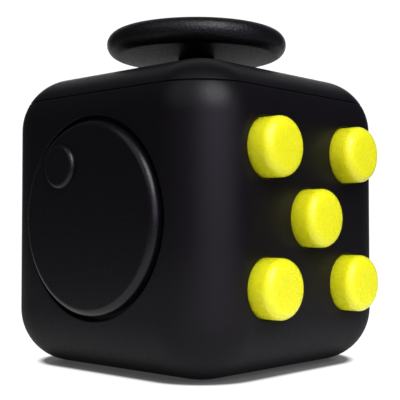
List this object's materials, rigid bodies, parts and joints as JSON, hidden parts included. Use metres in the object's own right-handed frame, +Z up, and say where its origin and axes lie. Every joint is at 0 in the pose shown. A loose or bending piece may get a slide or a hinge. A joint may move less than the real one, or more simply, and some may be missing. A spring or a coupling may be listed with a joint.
{
  "type": "fidget cube",
  "caption": "Pocket cube with round edges: push buttons, a spinning dial, a rocker switch, click wheels with a rolling ball, a tilting joystick disc and a thumb dish, one to a face.",
  "frame": {"origin": "middle of the cube's footprint, on the plane of the flat ring round the thumb dish that the cube rests on", "axes": "+Z up to the joystick's face, +X out of the button face, -Y out of the dial's face, -X out of the rocker's face, +Y out of the wheel and ball face"},
  "size_m": [0.0382, 0.0357, 0.0386],
  "materials": {
    "body_shell": "moulded ABS, fine spark-eroded satin",
    "top_cover": "moulded ABS, fine spark-eroded satin",
    "snap_dome_upper_near": "pressed spring steel",
    "rubber_dome_upper_far": "moulded silicone",
    "snap_dome_centre": "pressed spring steel",
    "rubber_dome_lower_near": "moulded silicone",
    "snap_dome_lower_far": "pressed spring steel",
    "button_plate": "moulded ABS",
    "button_plate_screws": "zinc-plated steel",
    "dial_thrust_washer": "natural nylon",
    "rocker_housing": "moulded ABS, satin",
    "rocker_pivot_pin": "drawn steel wire",
    "rocker_leaf_spring": "rolled spring steel",
    "rocker_screws": "zinc-plated steel",
    "wheel_axle": "ground steel",
    "wheel_spacers": "natural nylon",
    "wheel_bracket": "moulded ABS",
    "wheel_click_spring": "rolled spring steel",
    "wheel_bracket_screws": "zinc-plated steel",
    "ball_spring": "drawn spring wire",
    "ball_snap_dome": "pressed spring steel",
    "ball_sleeve": "moulded ABS",
    "ball_sleeve_screws": "zinc-plated steel",
    "joystick_cage": "moulded ABS",
    "joystick_cage_screws": "zinc-plated steel",
    "centring_spring": "drawn spring wire",
    "button_upper_near": "moulded ABS, fine grain",
    "button_upper_far": "moulded ABS, fine grain",
    "button_centre": "moulded ABS, fine grain",
    "button_lower_near": "moulded ABS, fine grain",
    "button_lower_far": "moulded ABS, fine grain",
    "dial": "moulded ABS, fine spark-eroded satin",
    "dial_retaining_washer": "stamped steel",
    "dial_screw": "zinc-plated steel",
    "rocker": "moulded ABS, fine grain",
    "click_wheel_left": "moulded acetal",
    "click_wheel_middle": "moulded acetal",
    "click_wheel_right": "moulded acetal",
    "ball_cup": "moulded acetal",
    "ball_seat_ring": "natural acetal",
    "roller_ball": "ground steel ball",
    "gimbal_ring": "turned brass",
    "gimbal_pins": "ground steel",
    "joystick_stem": "moulded acetal, satin",
    "joystick_disc": "soft-touch over ABS, fine grain",
    "stem_pivot_pin": "ground steel"
  },
  "bodies": {
    "housing": {"body_shell": "body_shell", "top_cover": "top_cover", "snap_dome_upper_near": "snap_dome_upper_near", "rubber_dome_upper_far": "rubber_dome_upper_far", "snap_dome_centre": "snap_dome_centre", "rubber_dome_lower_near": "rubber_dome_lower_near", "snap_dome_lower_far": "snap_dome_lower_far", "button_plate": "button_plate", "button_plate_screws": "button_plate_screws", "dial_thrust_washer": "dial_thrust_washer", "rocker_housing": "rocker_housing", "rocker_pivot_pin": "rocker_pivot_pin", "rocker_leaf_spring": "rocker_leaf_spring", "rocker_screws": "rocker_screws", "wheel_axle": "wheel_axle", "wheel_spacers": "wheel_spacers", "wheel_bracket": "wheel_bracket", "wheel_click_spring": "wheel_click_spring", "wheel_bracket_screws": "wheel_bracket_screws", "ball_spring": "ball_spring", "ball_snap_dome": "ball_snap_dome", "ball_sleeve": "ball_sleeve", "ball_sleeve_screws": "ball_sleeve_screws", "joystick_cage": "joystick_cage", "joystick_cage_screws": "joystick_cage_screws", "centring_spring": "centring_spring"},
    "button_upper_near": {"button_upper_near": "button_upper_near"},
    "button_upper_far": {"button_upper_far": "button_upper_far"},
    "button_centre": {"button_centre": "button_centre"},
    "button_lower_near": {"button_lower_near": "button_lower_near"},
    "button_lower_far": {"button_lower_far": "button_lower_far"},
    "dial": {"dial": "dial", "dial_retaining_washer": "dial_retaining_washer", "dial_screw": "dial_screw"},
    "rocker": {"rocker": "rocker"},
    "wheel_left": {"click_wheel_left": "click_wheel_left"},
    "wheel_middle": {"click_wheel_middle": "click_wheel_middle"},
    "wheel_right": {"click_wheel_right": "click_wheel_right"},
    "ball_cup": {"ball_cup": "ball_cup"},
    "ball_seat": {"ball_seat_ring": "ball_seat_ring"},
    "ball": {"roller_ball": "roller_ball"},
    "gimbal": {"gimbal_ring": "gimbal_ring", "gimbal_pins": "gimbal_pins"},
    "joystick": {"joystick_stem": "joystick_stem", "joystick_disc": "joystick_disc", "stem_pivot_pin": "stem_pivot_pin"}
  },
  "joints": [
    {"name": "press_upper_near", "type": "slide", "parent": "housing", "child": "button_upper_near", "axis": [-1, 0, 0], "range_m": [0, 0.001], "stiffness_N_per_m": 800, "deforming": ["snap_dome_upper_near"]},
    {"name": "press_upper_far", "type": "slide", "parent": "housing", "child": "button_upper_far", "axis": [-1, 0, 0], "range_m": [0, 0.001], "stiffness_N_per_m": 800, "deforming": ["rubber_dome_upper_far"]},
    {"name": "press_centre", "type": "slide", "parent": "housing", "child": "button_centre", "axis": [-1, 0, 0], "range_m": [0, 0.001], "stiffness_N_per_m": 800, "deforming": ["snap_dome_centre"]},
    {"name": "press_lower_near", "type": "slide", "parent": "housing", "child": "button_lower_near", "axis": [-1, 0, 0], "range_m": [0, 0.001], "stiffness_N_per_m": 800, "deforming": ["rubber_dome_lower_near"]},
    {"name": "press_lower_far", "type": "slide", "parent": "housing", "child": "button_lower_far", "axis": [-1, 0, 0], "range_m": [0, 0.001], "stiffness_N_per_m": 800, "deforming": ["snap_dome_lower_far"]},
    {"name": "dial_spin", "type": "hinge", "parent": "housing", "child": "dial", "pos_m": [0, -0.0165, 0.0165], "axis": [0, -1, 0], "continuous": true},
    {"name": "rocker_flip", "type": "hinge", "parent": "housing", "child": "rocker", "pos_m": [-0.0143, 0, 0.0165], "axis": [0, -1, 0], "range_deg": [0, 20], "deforming": ["rocker_leaf_spring"]},
    {"name": "wheel_spin_left", "type": "hinge", "parent": "housing", "child": "wheel_left", "pos_m": [0.0044, 0.0139, 0.0223], "axis": [1, 0, 0], "continuous": true, "deforming": ["wheel_click_spring"]},
    {"name": "wheel_spin_middle", "type": "hinge", "parent": "housing", "child": "wheel_middle", "pos_m": [0, 0.0139, 0.0223], "axis": [1, 0, 0], "continuous": true, "deforming": ["wheel_click_spring"]},
    {"name": "wheel_spin_right", "type": "hinge", "parent": "housing", "child": "wheel_right", "pos_m": [-0.0044, 0.0139, 0.0223], "axis": [1, 0, 0], "continuous": true, "deforming": ["wheel_click_spring"]},
    {"name": "ball_press", "type": "slide", "parent": "housing", "child": "ball_cup", "axis": [0, -1, 0], "range_m": [0, 0.0006], "stiffness_N_per_m": 900, "deforming": ["ball_spring", "ball_snap_dome"]},
    {"name": "ball_turn", "type": "hinge", "parent": "ball_cup", "child": "ball_seat", "pos_m": [0, 0.0139, 0.0103], "axis": [0, 1, 0], "continuous": true},
    {"name": "ball_roll", "type": "hinge", "parent": "ball_seat", "child": "ball", "pos_m": [0, 0.0139, 0.0103], "axis": [1, 0, 0], "continuous": true},
    {"name": "joystick_tilt_x", "type": "hinge", "parent": "housing", "child": "gimbal", "pos_m": [0, 0, 0.027], "axis": [1, 0, 0], "range_deg": [-10, 10], "stiffness_Nm_per_rad": 0.012, "deforming": ["centring_spring"]},
    {"name": "joystick_tilt_y", "type": "hinge", "parent": "gimbal", "child": "joystick", "pos_m": [0, 0, 0.027], "axis": [0, 1, 0], "range_deg": [-10, 10], "stiffness_Nm_per_rad": 0.012, "deforming": ["centring_spring"]}
  ]
}
